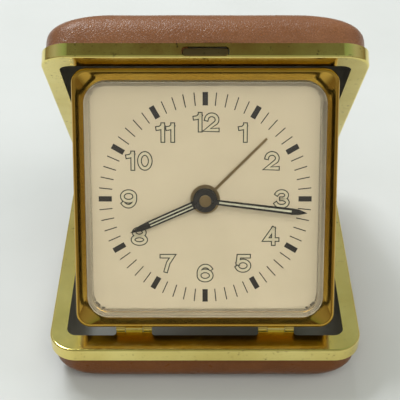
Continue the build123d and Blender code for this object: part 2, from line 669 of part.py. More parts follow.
def pallet_lever():
    """Two pallet pins that straddle the escape wheel, and the fork that the balance moves."""
    level = (ESCAPE_LEVEL[0] - 0.45, ESCAPE_LEVEL[0] - 0.15)
    to_escape = degrees(atan2(ESCAPE[1] - PALLET[1], ESCAPE[0] - PALLET[0]))
    to_balance = degrees(atan2(BALANCE[1] - PALLET[1], BALANCE[0] - PALLET[0]))
    body = shaft(radius=0.4) + disc(1.0, *level)
    for side in (-1, 1):
        arm = block((0, PALLET_REACH), (-0.3, 0.3), level)
        pin = disc(0.18, level[0], ESCAPE_LEVEL[1] + 0.1, (PALLET_REACH, 0))
        tip = disc(0.35, *level, (PALLET_REACH, 0))
        body += Rot(0, 0, to_escape + side * PALLET_SPREAD) * (arm + tip + pin)
    fork_reach = hypot(BALANCE[0] - PALLET[0], BALANCE[1] - PALLET[1]) - 1.7
    fork = block((0, fork_reach), (-0.3, 0.3), level)
    fork += block((fork_reach - 0.1, fork_reach + 0.7), (-0.75, 0.75), level)
    fork -= block((fork_reach + 0.15, fork_reach + 1.0), (-0.35, 0.35), grown(level, 1))
    return at_arbor(body + Rot(0, 0, to_balance) * fork, PALLET)


def balance_wheel():
    """The balance: rim, two arms, staff, hairspring collet and the pin that moves the fork."""
    rim = tube(5.2, 4.4, *BALANCE_LEVEL)
    arms = block((-4.6, 4.6), (-0.5, 0.5), (BALANCE_LEVEL[0] + 0.2, BALANCE_LEVEL[1] - 0.2))
    body = shaft(radius=0.45) + rim + arms + disc(0.7, HAIRSPRING_LEVEL[0] - 0.05, HAIRSPRING_LEVEL[1] + 0.05)
    roller = disc(0.9, -8.75, -8.55)
    to_pallet = degrees(atan2(PALLET[1] - BALANCE[1], PALLET[0] - BALANCE[0]))
    pin = disc(0.15, -8.75, -8.3, (0.72, 0))
    return at_arbor(body + Rot(0, 0, to_pallet) * (roller + pin), BALANCE)


def cannon_pinion():
    """The tube on the centre arbor that carries the minute hand."""
    body = tube(0.8, 0.4 + RUNNING, MINUTE_LEVEL[0], MINUTE_HAND_LEVEL[1])
    teeth = pinion(MINUTE_TRAIN[1], MINUTE_TRAIN[2], grown(MINUTE_LEVEL, 0.1), TURN_CANNON)
    return body + (teeth - disc(0.4 + RUNNING, -10, 0))


def hour_wheel():
    """The hour wheel and its pipe."""
    body = wheel(HOUR_TRAIN[0], HOUR_TRAIN[2], HOUR_LEVEL, 1.0, TURN_HOUR)
    return body + tube(1.5, 0.85, HOUR_LEVEL[0], HOUR_HAND_LEVEL[1])


def alarm_wheel():
    """The alarm wheel, whose pipe goes through the dial round the hour pipe."""
    body = wheel(ALARM_SET[0], ALARM_SET[2], ALARM_LEVEL, 1.6, TURN_ALARM)
    return body + tube(2.3, 1.55, ALARM_LEVEL[0], ALARM_HAND_LEVEL[1])


def minute_wheel():
    body = wheel(MINUTE_TRAIN[0], MINUTE_TRAIN[2], MINUTE_LEVEL, 0.5 + RUNNING, TURN_MINUTE, 4)
    teeth = pinion(HOUR_TRAIN[1], HOUR_TRAIN[2], (MINUTE_LEVEL[1], HOUR_LEVEL[1] + 0.1),
                   TURN_MINUTE_PINION)
    return at_arbor(body + (teeth - disc(0.5 + RUNNING, -10, 0)), MINUTE_WHEEL)


def setting_arbor(train, level, turn, at):
    """An arbor from a setting pinion behind the dial to a knob at the back."""
    top = level[1] + 0.1
    body = disc(0.6, COVER_BACK - 0.4, top)
    body += pinion(train[1], train[2], grown(level, 0.1), turn)
    return at_arbor(body, at)


def setting_knob(at):
    """A knurled knob behind the back cover."""
    low, high = KEY_END, COVER_BACK - 0.3
    count = 24
    points = []
    for k in range(count):
        for part, radius in ((0.0, 3.4), (0.25, 3.4), (0.5, 3.15), (0.75, 3.15)):
            a = 2 * pi * (k + part) / count
            points.append((radius * cos(a), radius * sin(a)))
    body = toothed(points, (low, high))
    body -= disc(2.3, low - 1, low + 0.5)
    return at_arbor(body - disc(0.6, COVER_BACK - 0.4, high + 1), at)


def alarm_escape_wheel():
    body = shaft()
    body += hooked_teeth(ALARM_ESCAPE_TEETH, ALARM_ESCAPE_RADIUS, ALARM_ESCAPE_RADIUS - 1.0,
                         (-10.3, -10.0))
    body += pinion(ALARM_TRAIN[1], ALARM_TRAIN[2], grown(GREAT_LEVEL), TURN_ALARM_ESCAPE)
    return at_arbor(body, ALARM_ESCAPE)


def alarm_hammer():
    """The hammer: its arbor, the pallet that the alarm escape wheel kicks, arm and head."""
    body = shaft()
    to_escape = degrees(atan2(ALARM_ESCAPE[1] - HAMMER[1], ALARM_ESCAPE[0] - HAMMER[0]))
    pallet = block((0, 1.35), (-0.4, 0.4), (-10.4, -9.9))
    arm = block((0, 13.0), (-0.4, 0.4), (-9.6, -9.2))
    head = disc(1.7, -10.6, -8.75, (13.0, 0))
    return at_arbor(body + Rot(0, 0, to_escape) * pallet + Rot(0, 0, 178) * (arm + head), HAMMER)


def click(at, angle):
    """The pawl that holds a ratchet wheel, with its shoulder screw."""
    pivot = polar(at, RATCHET_RADIUS + 2.6, angle)
    level = (RATCHET_LEVEL[0] + 0.03, RATCHET_LEVEL[1] - 0.02)
    body = disc(1.0, *level) - disc(0.45 + RUNNING, -13, -10)
    tail = Pos(0, 0, level[0]) * extrude(
        make_face(Polyline((0.6, -0.8), (3.2, 1.35), (3.3, 1.75), (0.0, 1.0), close=True)),
        level[1] - level[0])
    body += tail - disc(0.45 + RUNNING, -13, -10)
    return Pos(pivot[0], pivot[1], 0) * Rot(0, 0, angle + 78) * body, pivot


def click_screws():
    screws = []
    for at, angle in ((GREAT, TIME_CLICK_AT), (ALARM_GREAT, ALARM_CLICK_AT)):
        pivot = polar(at, RATCHET_RADIUS + 2.6, angle)
        screws.append(disc(0.45, RATCHET_LEVEL[0] - 0.1, BACK_PLATE[0], pivot))
    return screws


TIME_CLICK_AT = 215.0
ALARM_CLICK_AT = 300.0


def alarm_stop():
    """The slide that stops the alarm: a knurled tab, its neck and the foot behind the cover."""
    x, y = ALARM_STOP_AT
    tab = slab(4.2, 3.0, 0.6, COVER_BACK - 1.5, COVER_BACK - 0.1, (x - 0.9, y))
    for k in range(4):
        gx = x - 2.1 + 0.8 * k
        tab -= block((gx - 0.15, gx + 0.15), (y - 2, y + 2), (COVER_BACK - 2, COVER_BACK - 1.2))
    neck = block((x - 1.7, x - 0.1), (y - 0.7, y + 0.7), (COVER_BACK - 0.3, COVER_BACK + COVER_THICK + 0.05))
    foot = block((x - 2.6, x + 0.8), (y - 1.6, y + 1.6), (COVER_BACK + COVER_THICK + 0.02, BACK_PLATE[0] - 0.12))
    return tab + neck + foot


def regulator():
    """The index on the back plate that sets the rate."""
    x, y = BALANCE
    low, high = RATCHET_LEVEL
    ring = tube(1.5, 0.75, low, high)
    arm = block((-0.35, 0.35), (1.2, REGULATOR_ARM - 0.6), (low, high))
    pin = disc(0.4, COVER_BACK - 0.3, high, (0, REGULATOR_ARM - 1.0))
    return at_arbor(ring + arm + pin, (x, y))


def regulator_bush():
    """The turned bush on the back plate that the regulator's ring grips."""
    return at_arbor(tube(0.7, PIVOT + RUNNING, RATCHET_LEVEL[0], BACK_PLATE[0]), BALANCE)


# ---- hands --------------------------------------------------------------------------------------
def from_twelve(angle):
    """A turn that brings a hand drawn along +Y to an angle clockwise from twelve."""
    return Rot(0, 0, -angle)


def baton(hand, level, boss, bore, point):
    """A baton hand along +Y with a pointed end."""
    length, root, tip = hand
    outline = [(-root / 2, 0), (root / 2, 0), (tip / 2, length - point),
               (tip * 0.42, length - point * 0.55), (0.0, length),
               (-tip * 0.42, length - point * 0.55), (-tip / 2, length - point)]
    body = toothed(outline, level) + disc(boss, *level)
    return body - disc(bore, level[0] - 1, level[1] + 1)


def slots(hand, level, start, end, count, rail):
    """The openings that hold luminous paint, side by side; rail is a rib's share of the width."""
    length, root, tip = hand
    share = (1 - rail * (count + 1)) / count
    cuts = []
    for k in range(count):
        low = -0.5 + rail + k * (share + rail)
        near = root + (tip - root) * start / length
        far = root + (tip - root) * end / length
        outline = [(low * near, start), ((low + share) * near, start),
                   ((low + share) * far, end), (low * far, end)]
        cuts.append(toothed(outline, level))
    return cuts


HOUR_SLOTS = (3.5, HOUR_HAND[0] - 5.4, 2, 0.2)      # start, end, count and rib share
MINUTE_SLOTS = (3.5, MINUTE_HAND[0] - 4.0, 1, 0.3)


def hour_hand():
    body = baton(HOUR_HAND, HOUR_HAND_LEVEL, 3.0, 1.5, 5.2)
    for cut in slots(HOUR_HAND, grown(HOUR_HAND_LEVEL, 1), *HOUR_SLOTS):
        body -= cut
    return from_twelve(HOUR_ANGLE) * body


def minute_hand():
    body = baton(MINUTE_HAND, MINUTE_HAND_LEVEL, 2.9, 0.8, 3.8)
    for cut in slots(MINUTE_HAND, grown(MINUTE_HAND_LEVEL, 1), *MINUTE_SLOTS):
        body -= cut
    return from_twelve(MINUTE_ANGLE) * body


def lume(hand, level, openings, angle):
    """Luminous paint that fills a hand's slots, a little thinner than the hand."""
    thin = (level[0] + 0.03, level[1] - 0.03)
    return [from_twelve(angle) * cut for cut in slots(hand, thin, *openings)]


def alarm_hand():
    length, width = ALARM_HAND
    half = width / 2
    outline = [(-half, 0), (half, 0), (half * 0.75, length), (-half * 0.75, length)]
    body = toothed(outline, ALARM_HAND_LEVEL) + disc(3.7, *ALARM_HAND_LEVEL)
    body -= disc(2.3, -10, 0)
    return from_twelve(ALARM_ANGLE) * body


def centre_cap():
    """The brass nut on the cannon pinion that holds the minute hand."""
    low = MINUTE_HAND_LEVEL[1]
    cap = disc(1.5, low, low + 0.55)
    cap = fillet(cap.faces().sort_by(Axis.Z)[-1].edges(), 0.2)
    return cap - disc(0.4 + RUNNING, low - 1, low + 0.3)


# ---- assembly -----------------------------------------------------------------------------------
def base_nodes():
    return {
        "base_cover": leather_cover(),
        "base_tray": tray(),
        "base_frame": base_frame(),
        "base_hinge_leaf": hinge_leaf((0, 2, 4)),
        "clock_hinge_pins": clock_hinge_pins(),
        "case_hinge_pin": case_hinge_pin(),
    }


def lid_nodes():
    """Drawn like a base, then mirrored up and opened about the case hinge."""
    return {
        "lid_cover": leather_cover() - latch_cut(),
        "lid_tray": tray() - latch_cut(),
        "lid_frame": lid_frame(),
        "lid_hinge_leaf": hinge_leaf((1, 3)),
        "latch_button": latch_button(),
        "latch_spring": latch_spring(),
    }


def clock_nodes():
    return {
        "bezel": bezel(),
        "crystal": crystal(),
        "dial": dial(),
        "case_spacer": case_spacer(),
        "clock_hinge_leaves": clock_hinge_leaves(),
        "back_cover": back_cover(),
        "cover_screws": cover_screws(),
        "front_plate": front_plate(),
        "back_plate": back_plate(),
        "plate_pillars": plate_pillars(),
        "pillar_screws": pillar_screws(),
        "time_mainspring": mainspring(GREAT),
        "alarm_mainspring": mainspring(ALARM_GREAT),
        "hairspring": hairspring(),
        "click_screws": click_screws(),
        "time_great_wheel": great_wheel(GREAT_TRAIN, TURN_GREAT, GREAT),
        "time_winding_arbor": winding_arbor(GREAT),
        "time_key_hub": [key_hub(GREAT), key_pin(GREAT)],
        "time_key_wing": key_wing(GREAT),
        "time_click": click(GREAT, TIME_CLICK_AT)[0],
        "centre_wheel": centre_wheel(),
        "third_wheel": third_wheel(),
        "fourth_wheel": fourth_wheel(),
        "escape_wheel": escape_wheel(),
        "pallet_lever": pallet_lever(),
        "balance_wheel": balance_wheel(),
        "regulator": regulator(),
        "cannon_pinion": cannon_pinion(),
        "minute_wheel": minute_wheel(),
        "hour_wheel": hour_wheel(),
        "alarm_wheel": alarm_wheel(),
        "time_set_arbor": setting_arbor(TIME_SET, MINUTE_LEVEL, TURN_TIME_SET, TIME_SET_ARBOR),
        "time_set_knob": setting_knob(TIME_SET_ARBOR),
        "alarm_set_arbor": setting_arbor(ALARM_SET, ALARM_LEVEL, TURN_ALARM_SET, ALARM_SET_ARBOR),
        "alarm_set_knob": setting_knob(ALARM_SET_ARBOR),
        "alarm_great_wheel": great_wheel(ALARM_TRAIN, TURN_ALARM_GREAT, ALARM_GREAT),
        "alarm_winding_arbor": winding_arbor(ALARM_GREAT),
        "alarm_key_hub": [key_hub(ALARM_GREAT), key_pin(ALARM_GREAT)],
        "alarm_key_wing": key_wing(ALARM_GREAT),
        "alarm_click": click(ALARM_GREAT, ALARM_CLICK_AT)[0],
        "alarm_escape_wheel": alarm_escape_wheel(),
        "alarm_hammer": alarm_hammer(),
        "alarm_stop": alarm_stop(),
        "hour_hand": [hour_hand(), *lume(HOUR_HAND, HOUR_HAND_LEVEL, HOUR_SLOTS, HOUR_ANGLE)],
        "minute_hand": [minute_hand(),
                        *lume(MINUTE_HAND, MINUTE_HAND_LEVEL, MINUTE_SLOTS, MINUTE_ANGLE)],
        "alarm_hand": alarm_hand(),
        "centre_cap": centre_cap(),
    }


def case_hinge_turn(angle):
    """A turn about the case hinge axis that lifts the front edge by angle."""
    return Pos(0, HINGE_Y, 0) * Rot(-angle, 0, 0) * Pos(0, -HINGE_Y, 0)


def clock_placement():
    """Brings the clock from its own frame to where it stands on the base."""
    foot = Pos(0, CLOCK_SIZE / 2, 0)
    return Pos(0, FACE_FOOT_Y, FACE_FOOT_Z) * Rot(CLOCK_TILT, 0, 0) * foot


def lid_placement():
    return case_hinge_turn(LID_OPEN)


def overall_shift(placed):
    """The move from the case frame to the row frame."""
    boxes = [solid.bounding_box() for solids in placed.values() for solid in solids]
    low, high = min(b.min.Y for b in boxes), max(b.max.Y for b in boxes)
    return Pos(0, -(low + high) / 2, HALF_HEIGHT)


def as_list(shape):
    return list(shape) if isinstance(shape, list) else [shape]


def all_nodes():
    placed = {name: as_list(shape) for name, shape in base_nodes().items()}
    for name, shape in lid_nodes().items():
        placed[name] = [lid_placement() * mirror(s, about=Plane.XY) for s in as_list(shape)]
    for name, shape in clock_nodes().items():
        placed[name] = [clock_placement() * s for s in as_list(shape)]
    shift = overall_shift(placed)
    return {name: [shift * s for s in solids] for name, solids in placed.items()}, shift


def main():
    os.makedirs("parts", exist_ok=True)
    nodes, shift = all_nodes()
    for name, solids in nodes.items():
        pieces = [piece for solid in solids for piece in solid.solids()]
        shape = pieces[0] if len(pieces) == 1 else Compound(children=pieces)
        export_step(shape, f"parts/{name}.step")
    print("nodes", len(nodes), "shift in Y", round(shift.position.Y, 3))


if __name__ == "__main__":
    main()
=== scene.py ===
"""The looks of the folding travel alarm clock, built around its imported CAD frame. Metres, +Z up."""

import json
from math import cos, pi, radians, sin, sqrt

import bmesh
import bpy
from mathutils import Matrix, Vector, noise

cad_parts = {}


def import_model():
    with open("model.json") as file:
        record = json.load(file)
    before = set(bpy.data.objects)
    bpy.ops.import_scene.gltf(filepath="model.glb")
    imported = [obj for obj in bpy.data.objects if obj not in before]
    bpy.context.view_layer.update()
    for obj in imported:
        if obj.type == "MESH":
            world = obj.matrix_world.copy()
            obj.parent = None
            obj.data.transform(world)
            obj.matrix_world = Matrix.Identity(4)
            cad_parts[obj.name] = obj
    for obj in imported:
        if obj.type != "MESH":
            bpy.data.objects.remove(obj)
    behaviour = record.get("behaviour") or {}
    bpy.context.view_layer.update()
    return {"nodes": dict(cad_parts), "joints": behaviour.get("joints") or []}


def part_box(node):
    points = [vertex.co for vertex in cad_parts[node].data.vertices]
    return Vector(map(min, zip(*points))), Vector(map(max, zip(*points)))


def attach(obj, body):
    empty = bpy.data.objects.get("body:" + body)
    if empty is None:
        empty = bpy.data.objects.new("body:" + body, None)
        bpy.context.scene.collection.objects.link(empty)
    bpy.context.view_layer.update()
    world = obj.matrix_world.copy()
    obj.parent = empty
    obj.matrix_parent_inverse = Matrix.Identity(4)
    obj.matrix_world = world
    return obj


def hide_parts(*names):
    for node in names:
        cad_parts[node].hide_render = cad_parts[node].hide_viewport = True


MM = 0.001
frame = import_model()
nodes = frame["nodes"]
joints = {joint["name"]: joint for joint in frame["joints"]}


# ---- frames of the moving groups ----------------------------------------------------------------
# CLOCK lies in the plane of the face, with y towards twelve and z out of the dial. LID and BASE lie
# in the plane where the two halves meet, with z out into their depth. In the lid y runs from the
# front edge to the hinge, and in the base from the hinge edge to the front.
def frame_matrix(origin, x, y, z):
    """The matrix that takes millimetres in a local frame to metres in the row frame."""
    turn = Matrix((x, y, z)).transposed().to_4x4()
    return Matrix.Translation(origin) @ turn @ Matrix.Scale(MM, 4)


RIGHT = Vector((1, 0, 0))
FACING = -Vector(joints["minute_turn"]["axis"])    # out of the dial, towards the viewer
TWELVE = FACING.cross(RIGHT)
ARBOR_Z = -9.0                                     # the hands' joints lie this far behind the face
DIAL_CENTRE = Vector(joints["minute_turn"]["pos_m"]) - FACING * ARBOR_Z * MM
CLOCK = frame_matrix(DIAL_CENTRE, RIGHT, TWELVE, FACING)

CASE_SIZE = 80.0
HINGE_Y = 81.6                                     # the case hinge's axis, from the front edge
HALF_HEIGHT = 13.5                                 # the depth of each case half
FRONT_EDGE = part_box("base_frame")[0].y
LID_BACK = Vector(joints["latch_press"]["axis"])   # in the lid, from its front to its hinge
LID_OUT = RIGHT.cross(LID_BACK)
LID = frame_matrix(Vector(joints["lid_hinge"]["pos_m"]) - LID_BACK * HINGE_Y * MM,
                   RIGHT, LID_BACK, LID_OUT)
BASE = frame_matrix(Vector((0, FRONT_EDGE + CASE_SIZE * MM, HALF_HEIGHT * MM)),
                    RIGHT, Vector((0, -1, 0)), Vector((0, 0, -1)))


# ---- material helpers ---------------------------------------------------------------------------
MIX_A, MIX_B, MIX_RESULT = 6, 7, 2                 # the colour sockets of the Mix node


def set_stops(color_ramp, stops):
    """Fill a colour ramp. stops are (position, value) or (position, (r, g, b))."""
    elements = color_ramp.elements
    while len(elements) < len(stops):
        elements.new(0.5)
    for element, (position, value) in zip(elements, stops):
        element.position = position
        rgb = value if isinstance(value, tuple) else (value, value, value)
        element.color = (*rgb, 1)


class Look:
    """A procedural material, with shortcuts for the nodes that every surface here uses."""

    def __init__(self, name, **settings):
        """settings are constants for the shader's sockets, such as base_color for Base Color."""
        self.material = bpy.data.materials.new(name)
        self.material.use_nodes = True
        self.tree = self.material.node_tree
        self.shader = self.tree.nodes["Principled BSDF"]
        self.coords = self.tree.nodes.new("ShaderNodeTexCoord").outputs["Object"]
        for key, value in settings.items():
            socket = key.replace("_", " ").title().replace("Ior", "IOR")
            self.shader.inputs[socket].default_value = value

    def add(self, kind, inputs=None, **settings):
        """A new node. inputs are links or constants for its sockets, settings its own options."""
        made = self.tree.nodes.new(kind)
        for key, value in settings.items():
            setattr(made, key, value)
        for key, value in (inputs or {}).items():
            if isinstance(value, bpy.types.NodeSocket):
                self.tree.links.new(value, made.inputs[key])
            else:
                made.inputs[key].default_value = value
        return made

    def stretched(self, scale):
        """Coordinates for a noise that is drawn out along the axes where scale is small."""
        made = self.add("ShaderNodeMapping", {"Vector": self.coords, "Scale": scale})
        return made.outputs["Vector"]

    def noise(self, size_mm, detail=3.0, roughness=0.55, coords=None):
        """A cloudy pattern from 0 to 1 whose largest patches are about size_mm across."""
        made = self.add("ShaderNodeTexNoise", {
            "Vector": coords or self.coords, "Scale": 1 / (size_mm * MM), "Detail": detail,
            "Roughness": roughness})
        return made.outputs["Fac"]

    def cells(self, size_mm, feature):
        """A pattern of cells: the distance to a cell's middle (F1) or to its edge."""
        made = self.add("ShaderNodeTexVoronoi", {
            "Vector": self.coords, "Scale": 1 / (size_mm * MM)}, feature=feature)
        return made.outputs["Distance"]

    def ramp(self, factor, *stops):
        """The factor turned into other values or colours, see set_stops."""
        made = self.add("ShaderNodeValToRGB", {"Fac": factor})
        set_stops(made.color_ramp, stops)
        return made.outputs["Color"]

    def mix(self, factor, first, second):
        """From the first colour at factor 0 to the second at 1."""
        made = self.add("ShaderNodeMix", {"Factor": factor}, data_type="RGBA")
        for key, value in ((MIX_A, first), (MIX_B, second)):
            if isinstance(value, bpy.types.NodeSocket):
                self.tree.links.new(value, made.inputs[key])
            else:
                made.inputs[key].default_value = (*value, 1)
        return made.outputs[MIX_RESULT]

    def product(self, first, second):
        made = self.add("ShaderNodeMath", {0: first, 1: second}, operation="MULTIPLY")
        return made.outputs[0]

    def feed(self, socket, value):
        """Link a value to one of the shader's sockets."""
        self.tree.links.new(value, self.shader.inputs[socket])

    def bump(self, *layers):
        """layers are (height, strength, distance in mm), coarse first."""
        normal = None
        for height, strength, distance in layers:
            inputs = {"Height": height, "Strength": strength, "Distance": distance * MM}
            if normal:
                inputs["Normal"] = normal
            normal = self.add("ShaderNodeBump", inputs).outputs["Normal"]
        self.feed("Normal", normal)


def wear_metal(name, bright, dull, rough, speck=(0.10, 0.07, 0.03), specks=0.62, brushed=None,
               bump=0.05, uneven=0.25):
    """Plated metal: slow changes of tone, small tarnish specks and fine scratches.

    rough is the range of the roughness. Tarnish of the colour speck shows where a fine noise passes
    the level specks, so a higher level leaves fewer of them. brushed stretches the scratches, bump
    is their strength and uneven is that of the slow waves under them.
    """
    look = Look(name, metallic=1.0)
    slow = look.noise(14, 3)
    tone = look.mix(look.ramp(slow, (0.35, 0.0), (0.7, 1.0)), bright, dull)
    fine = look.ramp(look.noise(0.9, 4, 0.7), (specks, 0.0), (specks + 0.06, 1.0))
    cloud = look.ramp(look.noise(6, 2), (0.45, 0.0), (0.65, 1.0))
    look.feed("Base Color", look.mix(look.product(fine, cloud), tone, speck))
    smear = look.noise(3.5, 5, 0.7)
    look.feed("Roughness", look.ramp(smear, (0.3, rough[0]), (0.75, rough[1])))
    grain = look.noise(0.35, 3, 0.6, look.stretched(brushed) if brushed else None)
    wave = look.noise(9, 1)
    look.bump((wave, uneven, 0.12), (grain, bump, 0.05))
    return look.material


def leather(name, light, dark, edge, wear, glaze=0.12, shine=0.5):
    """Thin grained leather: light to dark in slow clouds, rubbed to edge, with wear in its creases.

    glaze is the weight of the clear coat over it and shine the strength of its own gloss.
    """
    look = Look(name, specular_ior_level=shine, coat_weight=glaze, coat_roughness=0.22)
    warp = look.noise(1.6, 2)
    cells = look.cells(0.62, "DISTANCE_TO_EDGE")
    fine = look.cells(0.3, "F1")
    pores = look.noise(0.16, 2, 0.6)
    slow = look.noise(17, 4, 0.6)
    tone = look.mix(look.ramp(slow, (0.3, 0.0), (0.72, 1.0)), light, dark)
    rubbed = look.ramp(look.noise(8, 5, 0.65), (0.55, 0.0), (0.85, 0.55))
    tone = look.mix(rubbed, tone, edge)
    valley = look.ramp(cells, (0.0, 1.0), (0.16, 0.0))
    tone = look.mix(look.product(valley, 0.45), tone, wear)
    look.feed("Base Color", tone)
    gloss = look.noise(2.2, 4, 0.6)
    look.feed("Roughness", look.ramp(gloss, (0.3, 0.26), (0.75, 0.46)))
    height = look.ramp(cells, (0.0, 0.0), (0.3, 1.0))
    look.bump((warp, 0.25, 0.35), (height, 0.7, 0.07), (fine, 0.35, 0.04), (pores, 0.3, 0.02))
    return look.material


def moulded(name, light, dark, rough=(0.42, 0.6), grain_mm=0.35, bump=0.2):
    """Plain moulded or painted surface with slight mottling and a fine texture."""
    look = Look(name, specular_ior_level=0.4)
    slow = look.noise(11, 4, 0.6)
    look.feed("Base Color", look.mix(look.ramp(slow, (0.3, 0.0), (0.75, 1.0)), light, dark))
    look.feed("Roughness", look.ramp(look.noise(2.4, 4), (0.3, rough[0]), (0.75, rough[1])))
    look.bump((look.noise(grain_mm, 3, 0.6), bump, 0.03))
    return look.material


def clear(name):
    """Clear acrylic, very slightly hazy with age. Light for the dial passes straight through it."""
    look = Look(name, base_color=(0.985, 0.985, 0.97, 1), transmission_weight=1.0, ior=1.46)
    look.feed("Roughness", look.ramp(look.noise(3, 4), (0.35, 0.0), (0.8, 0.012)))
    look.bump((look.noise(18, 2), 0.015, 0.1))
    rays = look.add("ShaderNodeLightPath").outputs["Is Shadow Ray"]
    through = look.add("ShaderNodeBsdfTransparent", {"Color": (0.96, 0.96, 0.94, 1)})
    out = look.tree.nodes["Material Output"]
    both = look.add("ShaderNodeMixShader", {0: rays, 1: look.shader.outputs[0],
                                            2: through.outputs[0]})
    look.tree.links.new(both.outputs[0], out.inputs["Surface"])
    return look.material


# ---- materials ----------------------------------------------------------------------------------
GILT = wear_metal("gilt_rim", (0.88, 0.75, 0.27), (0.76, 0.62, 0.19), (0.10, 0.22),
                  specks=0.6, uneven=0.7)
# The bezel's gilt is painted darker and redder than the rim's: a painted reflection of the dark room
# in its slopes.
BEZEL_GILT_PAINTED_REFLECTION = wear_metal("gilt_bezel_painted_reflection", (0.56, 0.34, 0.06), (0.48, 0.28, 0.045), (0.14, 0.2),
                        specks=0.72, bump=0.015, uneven=0.06)
BACK_GILT = wear_metal("gilt_back", (0.70, 0.58, 0.28), (0.6, 0.47, 0.2), (0.24, 0.36),
                       brushed=(1, 0.06, 0.06), bump=0.25)
PLATE_BRASS = wear_metal("plate_brass", (0.74, 0.58, 0.27), (0.62, 0.46, 0.19), (0.25, 0.36),
                         brushed=(0.06, 1, 1), bump=0.2)
WHEEL_BRASS = wear_metal("wheel_brass", (0.80, 0.62, 0.28), (0.7, 0.52, 0.22), (0.16, 0.26))
KEY_BRASS = wear_metal("key_brass", (0.76, 0.62, 0.3), (0.66, 0.5, 0.2), (0.18, 0.3))
STEEL = wear_metal("ground_steel", (0.55, 0.55, 0.54), (0.42, 0.42, 0.42), (0.2, 0.34),
                   speck=(0.2, 0.14, 0.1))
BLUED = wear_metal("spring_steel", (0.2, 0.23, 0.32), (0.14, 0.16, 0.22), (0.2, 0.32),
                   speck=(0.1, 0.08, 0.06))
NICKEL = wear_metal("plated_steel", (0.66, 0.64, 0.6), (0.52, 0.5, 0.46), (0.15, 0.28),
                    speck=(0.2, 0.15, 0.1))
# The latch button's gilt is painted dark brown: a painted reflection of the dark surroundings in its
# face.
LATCH_PAINTED_REFLECTION = wear_metal("latch_gilt_painted_dark", (0.26, 0.19, 0.09), (0.15, 0.10, 0.05), (0.26, 0.4),
                   speck=(0.03, 0.02, 0.01))
HAND_GOLD = wear_metal("alarm_gold", (0.34, 0.25, 0.12), (0.30, 0.21, 0.10), (0.3, 0.4),
                       specks=0.8)
LID_LEATHER = leather("leather_lid", (0.24, 0.096, 0.040), (0.19, 0.072, 0.030),
                      (0.31, 0.14, 0.065), (0.11, 0.04, 0.016))
# The base's leather is painted darker than the lid's: painted shade for the front of the base, which
# faces away from the light.
SHADED_BASE_LEATHER = leather("leather_base_painted_shade", (0.20, 0.066, 0.010), (0.15, 0.048, 0.008),
                       (0.27, 0.10, 0.03), (0.10, 0.032, 0.01), glaze=0.02, shine=0.22)
LINING = moulded("tray_lining", (0.29, 0.29, 0.27), (0.23, 0.23, 0.21), (0.5, 0.7), 0.5, 0.4)
# The lid's lining is the tray's lining painted darker: painted shade inside the lid, which faces
# down.
SHADED_LID_LINING = moulded("lid_lining_painted_shade", (0.20, 0.19, 0.165), (0.155, 0.15, 0.13), (0.5, 0.7),
                     0.5, 0.4)
SPACER = moulded("spacer_plastic", (0.3, 0.28, 0.25), (0.25, 0.23, 0.2))
DIAL = moulded("dial_enamel", (0.67, 0.58, 0.42), (0.625, 0.54, 0.385), (0.5, 0.62), 0.2, 0.08)
INK = moulded("dial_ink", (0.018, 0.014, 0.012), (0.012, 0.01, 0.008), (0.45, 0.6), 0.2, 0.1)
OUTLINE = moulded("numeral_ink", (0.018, 0.022, 0.015), (0.012, 0.015, 0.01), (0.45, 0.6),
                  0.2, 0.1)
GLOW = moulded("numeral_glow", (0.66, 0.60, 0.43), (0.62, 0.56, 0.39), (0.6, 0.75), 0.12, 0.5)
HAND_GLOW = moulded("hand_glow", (0.56, 0.55, 0.42), (0.48, 0.47, 0.35), (0.6, 0.75), 0.12, 0.5)
BLACK = moulded("hand_black", (0.008, 0.008, 0.008), (0.014, 0.012, 0.01), (0.22, 0.36), 0.5, 0.05)
CRYSTAL = clear("acrylic")

DRESS = {
    GILT: ["base_frame", "lid_frame", "base_hinge_leaf", "lid_hinge_leaf", "clock_hinge_leaves"],
    BEZEL_GILT_PAINTED_REFLECTION: ["bezel"],
    BACK_GILT: ["back_cover"],
    PLATE_BRASS: ["front_plate", "back_plate", "plate_pillars"],
    WHEEL_BRASS: ["time_great_wheel", "centre_wheel", "third_wheel", "fourth_wheel",
                  "escape_wheel", "minute_wheel", "hour_wheel", "alarm_wheel",
                  "alarm_great_wheel", "alarm_escape_wheel", "balance_wheel", "cannon_pinion"],
    KEY_BRASS: ["time_key_hub", "alarm_key_hub", "time_key_wing", "alarm_key_wing",
                "time_set_knob", "alarm_set_knob"],
    STEEL: ["clock_hinge_pins", "case_hinge_pin", "time_winding_arbor", "alarm_winding_arbor",
            "time_set_arbor", "alarm_set_arbor", "pallet_lever", "alarm_hammer"],
    BLUED: ["time_mainspring", "alarm_mainspring", "hairspring", "latch_spring"],
    NICKEL: ["cover_screws", "pillar_screws", "click_screws", "time_click", "alarm_click",
             "regulator", "alarm_stop"],
    LATCH_PAINTED_REFLECTION: ["latch_button"],
    HAND_GOLD: ["alarm_hand", "centre_cap"],
    LINING: ["base_tray"],
    SHADED_LID_LINING: ["lid_tray"],
    SPACER: ["case_spacer"],
    DIAL: ["dial"],
    BLACK: ["hour_hand", "minute_hand"],
    CRYSTAL: ["crystal"],
}
for material, names in DRESS.items():
    for name in names:
        slots = nodes[name].data.materials
        slots.clear()
        slots.append(material)


# ---- mesh helpers -------------------------------------------------------------------------------
def piece(name, verts, faces, matrix, material, body, smooth=False):
    """A mesh object from local millimetres, placed in the row frame, that rides on a body."""
    mesh = bpy.data.meshes.new(name)
    mesh.from_pydata([matrix @ Vector(v) for v in verts], [], faces)
    bm = bmesh.new()
    bm.from_mesh(mesh)
    bmesh.ops.recalc_face_normals(bm, faces=bm.faces)
    for face in bm.faces:
        face.smooth = smooth
    bm.to_mesh(mesh)
    bm.free()
    mesh.materials.append(material)
    obj = bpy.data.objects.new(name, mesh)
    bpy.context.scene.collection.objects.link(obj)
    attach(obj, body)
    return obj


SHARPEST_MITRE = 0.45                              # the least cosine that a mitre may follow


